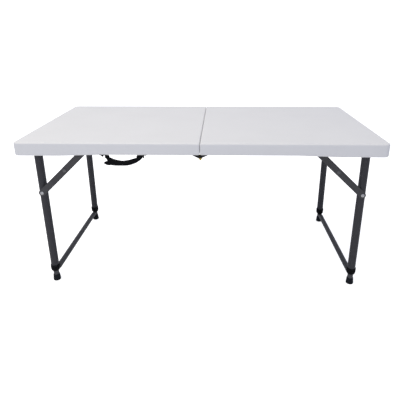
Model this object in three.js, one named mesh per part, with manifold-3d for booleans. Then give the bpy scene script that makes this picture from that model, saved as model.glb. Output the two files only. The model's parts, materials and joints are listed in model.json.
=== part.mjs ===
// Folding table: a moulded top that folds in half, on two fold-flat leg frames with adjustable height.
// Millimetres, +Z up. The origin is on the floor under the middle of the top, +X runs along the long
// side and -Y is the side with the carry handle.

import * as THREE from 'three';
import { mergeVertices } from 'three/addons/utils/BufferGeometryUtils.js';
import Module from 'manifold-3d';

const wasm = await Module();
wasm.setup();

// ---------------------------------------------------------------- driving dimensions

const GAP = 0.3; // clearance between pieces that touch

const TOP_LENGTH = 1220;
const TOP_DEPTH = 610;
const TOP_HEIGHT = 556;
const RIM_HEIGHT = 40; // visible thickness of the top
const PLATE_THICKNESS = 9; // between the table surface and the recess under it
const RIM_WIDTH = 20;
const SEAM_RIM_WIDTH = 20;
const SEAM_GAP = 1;
const CORNER_RADIUS = 15;
const SEAM_CORNER_RADIUS = 5;
const EDGE_RADIUS = 4;
const RECESS_CORNER_RADIUS = 14;
const RECESS_SEAM_RADIUS = 1;

const LEG_X = 553; // fold axis of each leg frame
const LEG_Y = 250;
const LEG_PIVOT_Z = 530;
const LEG_RADIUS = 14;
const LEG_WALL = 1.2;
const LEG_TOP_ABOVE_PIVOT = 8.5;
const LEG_BOTTOM_Z = 50.3;
const TOP_BAR_RADIUS = 10;
const TUBE_WALL = 1.3;

const INNER_RADIUS = 10;
const INNER_TOP_Z = 330;
const INNER_BOTTOM_Z = 3;
const CROSSBAR_RADIUS = 10;
const CROSSBAR_Z = 38.5;
const CROSSBAR_TONGUE = { halfWidth: 9.5, halfHeight: 3, length: 24 };
const FOOT_RADIUS = 13.5;
const FOOT_HEIGHT = 25;
const FOOT_FLOOR = 2.7;

const HEIGHT_STEP = 75;
const BUTTON_Z = 238; // snap button at the lowest height; the holes below it raise the table
const BUTTON_HOLE_RADIUS = 3.7;
const BUTTON_RADIUS = 3.2;
const BUTTON_PROUD = 2; // past the inner tube, and short of the outside of the leg tube

const COLLAR_RADIUS = 16.5;
const COLLAR_BOTTOM_Z = 42.5;
const COLLAR_TOP_Z = 67;

const BRACE_ALONG = 177; // from the leg pivot to the brace pivot under the top
const BRACE_DOWN = 167; // from the leg pivot to the leg rivet
const STRAP_WIDTH = 23;
const STRAP_THICKNESS = 2.5;
const LOWER_LINK_Y = 264.5; // inner faces, as distances from the middle of the table
const UPPER_LINK_Y = 271.8;
const RIVET_SHANK = 3;
const RIVET_HEAD = 6.2;
const RIVET_HEAD_HEIGHT = 1.9;

const RAIL_OUTER_Y = 284;
const RAIL_THICKNESS = 2.5;
const RAIL_END_X = 574;
const RAIL_BOTTOM_Z = 518.5;
const HINGE_Z = 504.5; // pin of the centre fold, just below the rim
const HINGE_PIN_RADIUS = 2.5;
const HINGE_PIN_HEAD = 4.4;
const HINGE_EAR_RADIUS = 6;
const HINGE_EAR_CORNER = { x: 27, z: 508.8 }; // the lower edge of the ear rises to here
const HINGE_EAR_START_X = 30;
const GUARD_HALF_WIDTH = 6;
const GUARD_SHOULDER_Z = 497.5;
const GUARD_TIP_Z = 489.8;

const SADDLE_Y = 190;
const SADDLE_WIDTH = 24;
const SADDLE_FLANGE = 15;

const HANDLE_Y = -294;
const HANDLE_PIVOT_Z = 508;
const HANDLE_DEPTH = 20;
const HANDLE_ARM_DEPTH = 10.4;
const HANDLE_LEFT_ARM = { outer: -308, inner: -299.5 };
const HANDLE_RIGHT_ARM = { outer: -186, inner: -205.5 };
const HANDLE_MIDDLE_X = -257;
const HANDLE_GRIP_TOP_Z = 490.8;
const HANDLE_GRIP_BOTTOM_Z = 478;
const HANDLE_SHOULDER_Z = 496.5; // above this the bail is only as deep as its arms
const HANDLE_PIN_RADIUS = 2.5;
const THUMB_STOP_LENGTH = 8.5;
const FOLD_STOP_X = -320; // peg that the folded half comes to rest on
const FOLD_STOP_RADIUS = 5.8;

// ---------------------------------------------------------------- heights worked out from these

const RIM_BOTTOM_Z = TOP_HEIGHT - RIM_HEIGHT;
const UNDERSIDE_Z = TOP_HEIGHT - PLATE_THICKNESS;
const FIXING_TOP_Z = UNDERSIDE_Z - GAP; // top of everything screwed under the plate
const LEG_RIVET_Z = LEG_PIVOT_Z - BRACE_DOWN;
const BRACE_PIVOT_X = LEG_X - BRACE_ALONG;

// The lower link is longer by ALONG - DOWN, so that both links lie flat beside the folded leg.
const BRACE_LENGTH = Math.hypot(BRACE_ALONG, BRACE_DOWN);
const LOWER_LINK_SHARE = 0.5 + (BRACE_ALONG - BRACE_DOWN) / (2 * BRACE_LENGTH);
const KNEE_X = LEG_X - LOWER_LINK_SHARE * BRACE_ALONG;
const KNEE_Z = LEG_RIVET_Z + LOWER_LINK_SHARE * BRACE_DOWN;

const SIDES = [['left', -1], ['right', 1]];
const FACES = [['front', -1], ['rear', 1]];

// ---------------------------------------------------------------- solids from three.js geometry

function solid(geometry) {
  const bare = geometry.index ? geometry.toNonIndexed() : geometry.clone();
  for (const name of Object.keys(bare.attributes)) {
    if (name !== 'position') bare.deleteAttribute(name);
  }
  const merged = mergeVertices(bare, 1e-4);
  const corners = [];
  for (let i = 0; i < merged.index.count; i += 3) {
    const [a, b, c] = [0, 1, 2].map((k) => merged.index.getX(i + k));
    if (a !== b && b !== c && c !== a) corners.push(a, b, c);
  }
  return new wasm.Manifold(new wasm.Mesh({
    numProp: 3,
    vertProperties: new Float32Array(merged.attributes.position.array),
    triVerts: new Uint32Array(corners),
  }));
}

function geometryOf(body) {
  const mesh = body.getMesh();
  const geometry = new THREE.BufferGeometry();
  geometry.setAttribute('position', new THREE.BufferAttribute(mesh.vertProperties, 3));
  geometry.setIndex(new THREE.BufferAttribute(mesh.triVerts, 1));
  geometry.computeVertexNormals();
  return geometry;
}

// A box between two opposite corners, given in any order.
function block(a, b) {
  const size = [0, 1, 2].map((i) => Math.abs(b[i] - a[i]));
  const middle = [0, 1, 2].map((i) => (a[i] + b[i]) / 2);
  return solid(new THREE.BoxGeometry(...size).translate(...middle));
}

// A round bar along X, Y or Z between two stations on that axis.
function bar(axis, radius, from, to, [x, y, z], segments = 20) {
  const geometry = new THREE.CylinderGeometry(radius, radius, Math.abs(to - from), segments);
  if (axis === 'x') geometry.rotateZ(Math.PI / 2);
  if (axis === 'z') geometry.rotateX(Math.PI / 2);
  const middle = (from + to) / 2;
  const place = { x: [middle, y, z], y: [x, middle, z], z: [x, y, middle] }[axis];
  return solid(geometry.translate(...place));
}

// A turned piece on a vertical axis: profile holds [radius, z] pairs.
function turned(profile, x, y, segments = 20) {
  const points = profile.map(([r, z]) => new THREE.Vector2(r, z));
  return solid(new THREE.LatheGeometry(points, segments).rotateX(Math.PI / 2).translate(x, y, 0));
}

// A flat outline of [x, z] pairs, extruded along Y between two stations.
function plateXZ(outline, from, to) {
  const shape = outline instanceof THREE.Shape ? outline
    : new THREE.Shape(outline.map(([x, z]) => new THREE.Vector2(x, z)));
  const depth = Math.abs(to - from);
  const geometry = new THREE.ExtrudeGeometry(shape, { depth, bevelEnabled: false, curveSegments: 8 });
  return solid(geometry.rotateX(Math.PI / 2).translate(0, Math.max(from, to), 0));
}

// Points on an arc from one angle to another, in degrees.
function arc(x, z, radius, start, end, steps) {
  return Array.from({ length: steps + 1 }, (_, i) => {
    const angle = THREE.MathUtils.degToRad(start + (end - start) * i / steps);
    return [x + radius * Math.cos(angle), z + radius * Math.sin(angle)];
  });
}

// A strap with round ends between two points in the XZ plane.
function strap([x0, z0], [x1, z1], width, from, to) {
  const heading = THREE.MathUtils.radToDeg(Math.atan2(z1 - z0, x1 - x0));
  const outline = [
    ...arc(x1, z1, width / 2, heading - 90, heading + 90, 8),
    ...arc(x0, z0, width / 2, heading + 90, heading + 270, 8),
  ];
  return plateXZ(outline, from, to);
}

// An outline in plan from one end of the top to the other, with its own radius at each end.
function planOutline(inner, outer, halfDepth, innerRadius, outerRadius) {
  const way = Math.sign(outer);
  const corner = (x, y, radius, start) => arc(x, y, radius, start, start + 90, 6);
  const points = [
    ...corner(Math.abs(outer) - outerRadius, -halfDepth + outerRadius, outerRadius, -90),
    ...corner(Math.abs(outer) - outerRadius, halfDepth - outerRadius, outerRadius, 0),
    ...corner(Math.abs(inner) + innerRadius, halfDepth - innerRadius, innerRadius, 90),
    ...corner(Math.abs(inner) + innerRadius, -halfDepth + innerRadius, innerRadius, 180),
  ];
  return new THREE.Shape(points.map(([x, y]) => new THREE.Vector2(way * x, y)));
}

// ---------------------------------------------------------------- the top

function topPanel(way) {
  const outline = planOutline(
    way * SEAM_GAP / 2, way * TOP_LENGTH / 2, TOP_DEPTH / 2, SEAM_CORNER_RADIUS, CORNER_RADIUS);
  const slab = new THREE.ExtrudeGeometry(outline, {
    depth: RIM_HEIGHT - 2 * EDGE_RADIUS,
    bevelThickness: EDGE_RADIUS,
    bevelSize: EDGE_RADIUS,
    bevelOffset: -EDGE_RADIUS,
    bevelSegments: 3,
  }).translate(0, 0, RIM_BOTTOM_Z + EDGE_RADIUS);
  const recess = new THREE.ExtrudeGeometry(
    planOutline(
      way * SEAM_RIM_WIDTH, way * (TOP_LENGTH / 2 - RIM_WIDTH), TOP_DEPTH / 2 - RIM_WIDTH,
      RECESS_SEAM_RADIUS, RECESS_CORNER_RADIUS),
    { depth: UNDERSIDE_Z - RIM_BOTTOM_Z + 1, bevelEnabled: false },
  ).translate(0, 0, RIM_BOTTOM_Z - 1);
  return solid(slab).subtract(solid(recess));
}

// An angle section along the edge of the recess. Its web drops under the seam rim as the hinge ear,
// and its tab carries the upper end of the brace on a rivet of its own.
function sideRail(way, face) {
  const outer = way < 0 ? RAIL_OUTER_Y : RAIL_OUTER_Y - RAIL_THICKNESS - GAP;
  const inner = outer - RAIL_THICKNESS;
  const start = SEAM_RIM_WIDTH + 1.5;
  const web = plateXZ([
    [RAIL_END_X, FIXING_TOP_Z],
    [start, FIXING_TOP_Z],
    [start, RIM_BOTTOM_Z - GAP],
    ...arc(0, HINGE_Z, HINGE_EAR_RADIUS, 80, 270, 12),
    [HINGE_EAR_RADIUS, HINGE_Z - HINGE_EAR_RADIUS],
    [HINGE_EAR_CORNER.x, HINGE_EAR_CORNER.z],
    [HINGE_EAR_START_X, RIM_BOTTOM_Z - GAP],
    [HINGE_EAR_START_X + 8, RAIL_BOTTOM_Z],
    [RAIL_END_X - 14, RAIL_BOTTOM_Z],
    [RAIL_END_X, RAIL_BOTTOM_Z + 14],
  ].map(([x, z]) => [way * x, z]), face * outer, face * inner);

  const tabInner = UPPER_LINK_Y + STRAP_THICKNESS + GAP;
  const flange = block(
    [way * start, face * tabInner, FIXING_TOP_Z - RAIL_THICKNESS],
    [way * RAIL_END_X, face * (inner + 1), FIXING_TOP_Z]);
  const tabHalf = 16;
  const tab = plateXZ([
    [BRACE_PIVOT_X - tabHalf, FIXING_TOP_Z],
    ...arc(BRACE_PIVOT_X, LEG_PIVOT_Z, 11, 180, 360, 10),
    [BRACE_PIVOT_X + tabHalf, FIXING_TOP_Z],
  ].map(([x, z]) => [way * x, z]), face * tabInner, face * (tabInner + RAIL_THICKNESS));

  const pivot = [way * BRACE_PIVOT_X, 0, LEG_PIVOT_Z];
  const headOuter = UPPER_LINK_Y - GAP;
  const shank = bar('y', RIVET_SHANK, face * (headOuter - 1), face * (tabInner + 1), pivot, 12);
  const head = bar('y', RIVET_HEAD, face * (headOuter - RIVET_HEAD_HEIGHT), face * headOuter, pivot, 12);
  const pinHole = bar(
    'y', HINGE_PIN_RADIUS + GAP, face * (inner - 2), face * (outer + 2), [0, 0, HINGE_Z], 16);
  return web.add(flange).add(tab).add(shank).add(head).subtract(pinHole);
}

function hingePin(face) {
  const centre = [0, 0, HINGE_Z];
  const guardInner = RAIL_OUTER_Y - 2 * RAIL_THICKNESS - 2 * GAP - 3.5;
  const shank = bar(
    'y', HINGE_PIN_RADIUS, face * (guardInner - GAP - 1), face * (RAIL_OUTER_Y + GAP + 1), centre, 16);
  const head = (y) => bar(
    'y', HINGE_PIN_HEAD, face * y, face * (y + RIVET_HEAD_HEIGHT), centre, 16);
  const outerHead = head(RAIL_OUTER_Y + GAP);
  const innerHead = head(guardInner - GAP - RIVET_HEAD_HEIGHT);
  return shank.add(outerHead).add(innerHead);
}

// A pointed nylon guard that hangs on the hinge pin beside the two ears.
function hingeGuard(face) {
  const outer = RAIL_OUTER_Y - 2 * RAIL_THICKNESS - 2 * GAP;
  const inner = outer - 3.2;
  const tail = plateXZ([
    ...arc(0, HINGE_Z, GUARD_HALF_WIDTH, 0, 180, 8),
    [-GUARD_HALF_WIDTH, GUARD_SHOULDER_Z],
    [0, GUARD_TIP_Z],
    [2, GUARD_TIP_Z],
    [GUARD_HALF_WIDTH, GUARD_SHOULDER_Z],
  ], face * inner, face * (outer - GAP));
  const hole = bar('y', HINGE_PIN_RADIUS + GAP, face * (inner - 2), face * (outer + 2), [0, 0, HINGE_Z], 16);
  return tail.subtract(hole);
}

// A strap under the top bar, with a flange each side that is screwed to the plate.
function saddle(way, face) {
  const from = face * (SADDLE_Y - SADDLE_WIDTH / 2);
  const to = face * (SADDLE_Y + SADDLE_WIDTH / 2);
  const centre = [way * LEG_X, 0, LEG_PIVOT_Z];
  const bore = TOP_BAR_RADIUS + GAP;
  const outside = bore + RAIL_THICKNESS;
  const spanX = (half, low, high) => block(
    [way * (LEG_X - half), from, low], [way * (LEG_X + half), to, high]);
  const cut = face * 2; // the cutters run past both ends
  return bar('y', outside, from, to, centre, 24)
    .add(spanX(outside, LEG_PIVOT_Z, FIXING_TOP_Z))
    .add(spanX(outside + SADDLE_FLANGE, FIXING_TOP_Z - RAIL_THICKNESS, FIXING_TOP_Z))
    .subtract(bar('y', bore, from - cut, to + cut, centre, 24))
    .subtract(block([way * (LEG_X - bore), from - cut, LEG_PIVOT_Z],
      [way * (LEG_X + bore), to + cut, FIXING_TOP_Z + 1]));
}

// ---------------------------------------------------------------- leg frames

function upright(way, face, radius, bottom, top) {
  return bar('z', radius, bottom, top, [way * LEG_X, face * LEG_Y, 0], 24);
}

function legTube(way, face) {
  const top = LEG_PIVOT_Z + LEG_TOP_ABOVE_PIVOT;
  const tube = upright(way, face, LEG_RADIUS, LEG_BOTTOM_Z, top)
    .subtract(upright(way, face, LEG_RADIUS - LEG_WALL, LEG_BOTTOM_Z - 1, top + 1));
  return [0, 1, 2].reduce((body, step) => body.subtract(bar(
    'x', BUTTON_HOLE_RADIUS, way * (LEG_X + LEG_RADIUS - 4), way * (LEG_X + LEG_RADIUS + 1),
    [0, face * LEG_Y, BUTTON_Z - step * HEIGHT_STEP], 12)), tube);
}

function innerTube(way, face) {
  const tube = upright(way, face, INNER_RADIUS, INNER_BOTTOM_Z, INNER_TOP_Z)
    .subtract(upright(way, face, INNER_RADIUS - LEG_WALL, INNER_BOTTOM_Z - 1, INNER_TOP_Z + 1));
  const hole = bar('x', BUTTON_RADIUS + GAP, way * (LEG_X + INNER_RADIUS - 4),
    way * (LEG_X + INNER_RADIUS + 1), [0, face * LEG_Y, BUTTON_Z], 12);
  return tube.subtract(hole);
}

// A tube along Y between two uprights, with its ends cut to sit round them.
function crossTube(way, z, radius, uprightRadius) {
  const place = [way * LEG_X, 0, z];
  const tube = bar('y', radius, -LEG_Y, LEG_Y, place, 20)
    .subtract(bar('y', radius - TUBE_WALL, -LEG_Y - 1, LEG_Y + 1, place, 20));
  const low = z - 3 * radius;
  const high = z + 3 * radius;
  return tube
    .subtract(upright(way, -1, uprightRadius + GAP, low, high))
    .subtract(upright(way, 1, uprightRadius + GAP, low, high));
}

// The bar between the inner tubes stops short of the collars, and a flat tongue at each end reaches on
// between collar and foot cap.
function crossbar(way) {
  const { halfWidth, halfHeight, length } = CROSSBAR_TONGUE;
  return FACES.reduce((body, [, face]) => {
    const tongue = block(
      [way * LEG_X - halfWidth, face * (LEG_Y - length), CROSSBAR_Z - halfHeight],
      [way * LEG_X + halfWidth, face * LEG_Y, CROSSBAR_Z + halfHeight]);
    return body.add(tongue.subtract(
      upright(way, face, INNER_RADIUS + GAP, CROSSBAR_Z - length, CROSSBAR_Z + length)));
  }, crossTube(way, CROSSBAR_Z, CROSSBAR_RADIUS, COLLAR_RADIUS));
}

function collar(way, face) {
  const socket = LEG_RADIUS + GAP;
  const bore = INNER_RADIUS + 0.4;
  const step = LEG_BOTTOM_Z - GAP;
  return turned([
    [bore, COLLAR_BOTTOM_Z],
    [COLLAR_RADIUS - 2.5, COLLAR_BOTTOM_Z],
    [COLLAR_RADIUS - 0.4, COLLAR_BOTTOM_Z + 4],
    [COLLAR_RADIUS, COLLAR_TOP_Z - 3],
    [COLLAR_RADIUS - 0.4, COLLAR_TOP_Z],
    [socket, COLLAR_TOP_Z],
    [socket, step],
    [bore, step],
    [bore, COLLAR_BOTTOM_Z],
  ], way * LEG_X, face * LEG_Y);
}

function foot(way, face) {
  const bore = INNER_RADIUS + GAP;
  return turned([
    [0, 0],
    [FOOT_RADIUS - 0.9, 0],
    [FOOT_RADIUS, 1.2],
    [FOOT_RADIUS - 0.2, 8],
    [bore + 1.5, FOOT_HEIGHT],
    [bore, FOOT_HEIGHT],
    [bore, FOOT_FLOOR],
    [0, FOOT_FLOOR],
  ], way * LEG_X, face * LEG_Y);
}

// The snap button stands in the wall of the inner tube and points away from the middle of the table.
function button(way, face) {
  const tip = LEG_X + INNER_RADIUS + BUTTON_PROUD;
  const centre = [0, face * LEG_Y, BUTTON_Z];
  return bar('x', BUTTON_RADIUS, way * (tip - 1), way * (tip - 8), centre, 16)
    .add(bar('x', BUTTON_RADIUS - 0.9, way * tip, way * (tip - 2), centre, 16));
}

// ---------------------------------------------------------------- folding braces

function link(way, face, innerY, [ax, az], [bx, bz]) {
  const from = face * innerY;
  const to = face * (innerY + STRAP_THICKNESS);
  const beyond = face * 2;
  const hole = (x, z) => bar(
    'y', RIVET_SHANK + GAP, from - beyond, to + beyond, [way * x, 0, z], 12);
  return strap([way * ax, az], [way * bx, bz], STRAP_WIDTH, from, to)
    .subtract(hole(ax, az))
    .subtract(hole(bx, bz));
}

function lowerLink(way, face) {
  return link(way, face, LOWER_LINK_Y, [LEG_X, LEG_RIVET_Z], [KNEE_X, KNEE_Z]);
}

function upperLink(way, face) {
  return link(way, face, UPPER_LINK_Y, [KNEE_X, KNEE_Z], [BRACE_PIVOT_X, LEG_PIVOT_Z]);
}

function legRivet(way, face) {
  const centre = [way * LEG_X, 0, LEG_RIVET_Z];
  const head = LOWER_LINK_Y + STRAP_THICKNESS + GAP;
  return bar('y', RIVET_SHANK, face * (LEG_Y + LEG_RADIUS + GAP), face * (head + 1), centre, 12)
    .add(bar('y', RIVET_HEAD, face * head, face * (head + RIVET_HEAD_HEIGHT), centre, 16));
}

// The knee rivet belongs to the upper link, and its spacer stops just short of the lower one.
function kneeRivet(way, face) {
  const centre = [way * KNEE_X, 0, KNEE_Z];
  const head = UPPER_LINK_Y + STRAP_THICKNESS + GAP;
  const spacerInner = LOWER_LINK_Y + STRAP_THICKNESS + GAP;
  const spacerOuter = UPPER_LINK_Y - GAP;
  return bar('y', RIVET_SHANK, face * (spacerOuter - 1), face * (head + 1), centre, 12)
    .add(bar('y', RIVET_HEAD, face * head, face * (head + RIVET_HEAD_HEIGHT), centre, 16))
    .add(bar('y', 4.5, face * spacerInner, face * spacerOuter, centre, 12));
}

// ---------------------------------------------------------------- carry handle

// A bail on two pins. The grip is bowed downwards, swells into a broad right arm, and ends in a thumb
// stop that stands out past the slim left arm.
function handle() {
  const left = HANDLE_LEFT_ARM;
  const right = HANDLE_RIGHT_ARM;
  const top = HANDLE_PIVOT_Z;
  const middle = HANDLE_MIDDLE_X;
  const stopTip = left.outer - THUMB_STOP_LENGTH;
  const outline = new THREE.Shape()
    .moveTo(left.outer, top)
    .lineTo(left.outer, HANDLE_SHOULDER_Z - 4)
    .lineTo(stopTip, HANDLE_SHOULDER_Z - 9)
    .lineTo(stopTip, HANDLE_SHOULDER_Z - 11.5)
    .quadraticCurveTo(left.outer + 12, HANDLE_GRIP_BOTTOM_Z, middle - 8, HANDLE_GRIP_BOTTOM_Z)
    .bezierCurveTo(
      middle + 29, HANDLE_GRIP_BOTTOM_Z, right.outer - 11, HANDLE_GRIP_BOTTOM_Z + 18, right.outer, top)
    .lineTo(right.inner, top)
    .lineTo(right.inner, top - 5)
    .bezierCurveTo(
      right.inner - 22, HANDLE_GRIP_TOP_Z + 1, middle + 12, HANDLE_GRIP_TOP_Z, middle, HANDLE_GRIP_TOP_Z)
    .bezierCurveTo(
      middle - 14, HANDLE_GRIP_TOP_Z, left.inner + 14, HANDLE_GRIP_TOP_Z + 1, left.inner, top - 5)
    .lineTo(left.inner, top);
  const grip = plateXZ(outline, HANDLE_Y - HANDLE_DEPTH / 2, HANDLE_Y + HANDLE_DEPTH / 2);
  const shoulders = [-1, 1].map((face) => block(
    [left.outer - 20, HANDLE_Y + face * HANDLE_ARM_DEPTH / 2, HANDLE_SHOULDER_Z],
    [right.outer + 1, HANDLE_Y + face * HANDLE_DEPTH, top + 1]));
  const slimmed = grip.subtract(shoulders[0]).subtract(shoulders[1]);
  const centre = [0, HANDLE_Y, top];
  const withEyes = [left, right].reduce(
    (body, arm) => body.add(bar('x', HANDLE_ARM_DEPTH / 2, arm.outer, arm.inner, centre, 16)), slimmed);
  return withEyes.subtract(
    bar('x', HANDLE_PIN_RADIUS + GAP, left.outer - 2, right.outer + 2, centre, 12));
}

// A plate screwed under the rim, with an ear and a pin that one arm of the handle turns on.
function handleBracket(way, arm, plateLength) {
  const earInner = arm.outer + way * GAP;
  const earOuter = earInner + way * 2.2;
  const plateTop = RIM_BOTTOM_Z - GAP;
  const plateBottom = plateTop - 2;
  const pinEnd = arm.inner - way * GAP;
  const centre = [0, HANDLE_Y, HANDLE_PIVOT_Z];
  return block(
    [earInner, HANDLE_Y - 7, plateBottom], [earOuter + way * plateLength, HANDLE_Y + 8, plateTop])
    .add(block([earInner, HANDLE_Y - 6, HANDLE_PIVOT_Z], [earOuter, HANDLE_Y + 6, plateTop]))
    .add(bar('x', 6, earInner, earOuter, centre, 16))
    .add(bar('x', HANDLE_PIN_RADIUS, pinEnd - way, earOuter, centre, 12))
    .add(bar('x', HANDLE_PIN_RADIUS + 1.2, pinEnd - way * 1.6, pinEnd, centre, 12));
}

// The left bracket also carries a tapered rubber-headed stop that the folded half comes to rest on.
function foldStop() {
  const top = RIM_BOTTOM_Z - GAP - 1;
  return turned([
    [0, top - 7.5],
    [2.2, top - 7.5],
    [FOLD_STOP_RADIUS, top - 1.5],
    [FOLD_STOP_RADIUS, top],
    [0, top],
  ], FOLD_STOP_X, HANDLE_Y);
}

// ---------------------------------------------------------------- materials and assembly

const FINISHES = {
  moulded_top: { color: 0xdcdde0, roughness: 0.55, metalness: 0 },
  dark_powder_coat: { color: 0x34343a, roughness: 0.45, metalness: 0.3 },
  grey_powder_coat: { color: 0x4a4a4e, roughness: 0.45, metalness: 0.3 },
  black_powder_coat: { color: 0x1a1a1d, roughness: 0.45, metalness: 0.3 },
  rivet_steel: { color: 0xa9a9ac, roughness: 0.3, metalness: 0.9 },
  black_nylon: { color: 0x12131a, roughness: 0.5, metalness: 0 },
  yellow_nylon: { color: 0xd2b440, roughness: 0.5, metalness: 0 },
};

const table = new THREE.Group();

function place(name, finish, body) {
  const mesh = new THREE.Mesh(geometryOf(body), new THREE.MeshStandardMaterial(FINISHES[finish]));
  mesh.name = name;
  table.add(mesh);
}

for (const [side, way] of SIDES) {
  place(`${side}_panel`, 'moulded_top', topPanel(way));
  place(`${side}_top_bar`, 'dark_powder_coat',
    crossTube(way, LEG_PIVOT_Z, TOP_BAR_RADIUS, LEG_RADIUS));
  place(`${side}_crossbar`, 'grey_powder_coat', crossbar(way));
  for (const [facing, face] of FACES) {
    const corner = `${side}_${facing}`;
    place(`${corner}_rail`, 'black_powder_coat', sideRail(way, face));
    place(`${corner}_saddle`, 'dark_powder_coat', saddle(way, face));
    place(`${corner}_leg_tube`, 'dark_powder_coat', legTube(way, face));
    place(`${corner}_inner_tube`, 'grey_powder_coat', innerTube(way, face));
    place(`${corner}_collar`, 'black_nylon', collar(way, face));
    place(`${corner}_foot`, 'black_nylon', foot(way, face));
    place(`${corner}_button`, 'rivet_steel', button(way, face));
    place(`${corner}_lower_link`, 'grey_powder_coat', lowerLink(way, face));
    place(`${corner}_upper_link`, 'grey_powder_coat', upperLink(way, face));
    place(`${corner}_leg_rivet`, 'rivet_steel', legRivet(way, face));
    place(`${corner}_knee_rivet`, 'rivet_steel', kneeRivet(way, face));
  }
}

for (const [facing, face] of FACES) {
  place(`${facing}_hinge_pin`, 'rivet_steel', hingePin(face));
  place(`${facing}_hinge_guard`, 'yellow_nylon', hingeGuard(face));
}

place('handle', 'black_nylon', handle());
place('handle_left_bracket', 'black_nylon', handleBracket(-1, HANDLE_LEFT_ARM, 19).add(foldStop()));
place('handle_right_bracket', 'black_nylon', handleBracket(1, HANDLE_RIGHT_ARM, 10));

export default table;
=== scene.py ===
"""Folding table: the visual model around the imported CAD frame. Metres, +Z up."""
import json
import math

import bmesh
import bpy
from mathutils import Matrix, Vector
from mathutils.geometry import tessellate_polygon


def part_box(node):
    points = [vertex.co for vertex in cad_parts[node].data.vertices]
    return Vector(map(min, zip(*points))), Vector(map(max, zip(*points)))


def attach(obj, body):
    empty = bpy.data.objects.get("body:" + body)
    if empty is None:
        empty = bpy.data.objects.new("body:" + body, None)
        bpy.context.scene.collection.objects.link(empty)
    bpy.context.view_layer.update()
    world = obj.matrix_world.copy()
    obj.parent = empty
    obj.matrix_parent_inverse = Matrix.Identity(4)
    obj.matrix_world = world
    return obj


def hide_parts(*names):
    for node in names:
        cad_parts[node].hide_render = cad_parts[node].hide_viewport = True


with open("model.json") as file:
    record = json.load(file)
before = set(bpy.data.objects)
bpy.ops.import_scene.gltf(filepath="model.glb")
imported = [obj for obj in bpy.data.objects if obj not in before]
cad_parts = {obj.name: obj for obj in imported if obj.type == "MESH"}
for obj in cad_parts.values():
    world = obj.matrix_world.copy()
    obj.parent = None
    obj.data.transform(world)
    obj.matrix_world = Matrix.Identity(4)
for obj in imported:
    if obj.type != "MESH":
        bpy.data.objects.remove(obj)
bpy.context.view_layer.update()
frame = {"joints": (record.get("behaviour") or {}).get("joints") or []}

MM = 0.001
SIDES = {"left": -1, "right": 1}
FACES = {"front": -1, "rear": 1}
GAP = 0.3 * MM  # clearance between pieces that touch

# ---------------------------------------------------------------- places and sizes from the frame


def span(node):
    """Middle and half size of a CAD node."""
    low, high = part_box(node)
    return (low + high) / 2, (high - low) / 2


joint_at = {j["name"]: Vector(j["pos_m"]) for j in frame["joints"] if j.get("pos_m")}

PANEL_LOW, PANEL_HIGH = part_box("right_panel")
SEAM_X, END_X, HALF_DEPTH = PANEL_LOW.x, PANEL_HIGH.x, PANEL_HIGH.y
TOP_Z, RIM_Z = PANEL_HIGH.z, PANEL_LOW.z
FIXING_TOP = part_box("right_rear_saddle")[1].z  # top of what is screwed under the plate
PLATE_Z = FIXING_TOP + GAP

LEG, leg_half = span("right_rear_leg_tube")
LEG_RADIUS = leg_half.x
INNER_RADIUS = span("right_rear_inner_tube")[1].x
TUBE_WALL = 1.2 * MM
LEG_PIVOT = joint_at["right_leg_fold"]
LEG_RIVET = joint_at["right_lower_link_fold"]
BRACE_PIVOT = joint_at["right_upper_link_fold"]
KNEE, _ = span("right_rear_knee_rivet")
HINGE = joint_at["half_fold"]
HANDLE_PIVOT = joint_at["handle_swing"]

# ---------------------------------------------------------------- mesh building

SHARP_ANGLE = 35  # degrees between faces, from which their edge is shaded as a sharp one


def arc(x, y, radius, start, end, steps):
    """Points on an arc in a plane, from one angle to another in degrees."""
    angles = [math.radians(start + (end - start) * i / steps) for i in range(steps + 1)]
    return [Vector((x + radius * math.cos(a), y + radius * math.sin(a))) for a in angles]


def circle(x, y, radius, steps=24):
    return arc(x, y, radius, 0, 360, steps)[:-1]


def loft(bm, rings, loop=False, caps=True):
    """Quads between rings of equally many points, closed end to end or capped.
    Returns the rings' vertices."""
    made = [[bm.verts.new(point) for point in ring] for ring in rings]
    pairs = list(zip(made, made[1:]))
    if loop:
        pairs.append((made[-1], made[0]))
    for one, other in pairs:
        for i in range(len(one)):
            j = (i + 1) % len(one)
            bm.faces.new((one[i], one[j], other[j], other[i]))
    if caps and not loop:
        bm.faces.new(made[0])
        bm.faces.new(made[-1])
    return made


def fill(bm, loops):
    """Flat triangles between an outer loop of vertices and the loops of its holes."""
    corners = [vertex for loop in loops for vertex in loop]
    for triangle in tessellate_polygon([[vertex.co for vertex in loop] for loop in loops]):
        bm.faces.new([corners[i] for i in triangle])


def turned(bm, profile, origin, axis, segments=48, loop=False):
    """A profile of (radius, station) pairs turned round an axis through origin."""
    axis = Vector(axis).normalized()
    across = axis.orthogonal().normalized()
    beside = axis.cross(across)
    rings = []
    for radius, station in profile:
        centre = Vector(origin) + axis * station
        rings.append([centre + across * p.x + beside * p.y for p in circle(0, 0, radius, segments)])
    return loft(bm, rings, loop)


def inset(points, distance):
    """A counterclockwise loop made smaller by a distance; a clockwise hole gets larger."""
    moved = []
    for i, point in enumerate(points):
        before = (point - points[i - 1]).normalized()
        after = (points[(i + 1) % len(points)] - point).normalized()
        normals = [Vector((-before.y, before.x)), Vector((-after.y, after.x))]
        share = distance / max(1 + normals[0].dot(normals[1]), 0.2)
        moved.append(point + (normals[0] + normals[1]) * share)
    return moved


def turning(points):
    """Twice the area of a loop: positive if it runs counterclockwise."""
    return sum(a.cross(b) for a, b in zip(points, points[1:] + points[:1]))


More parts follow.
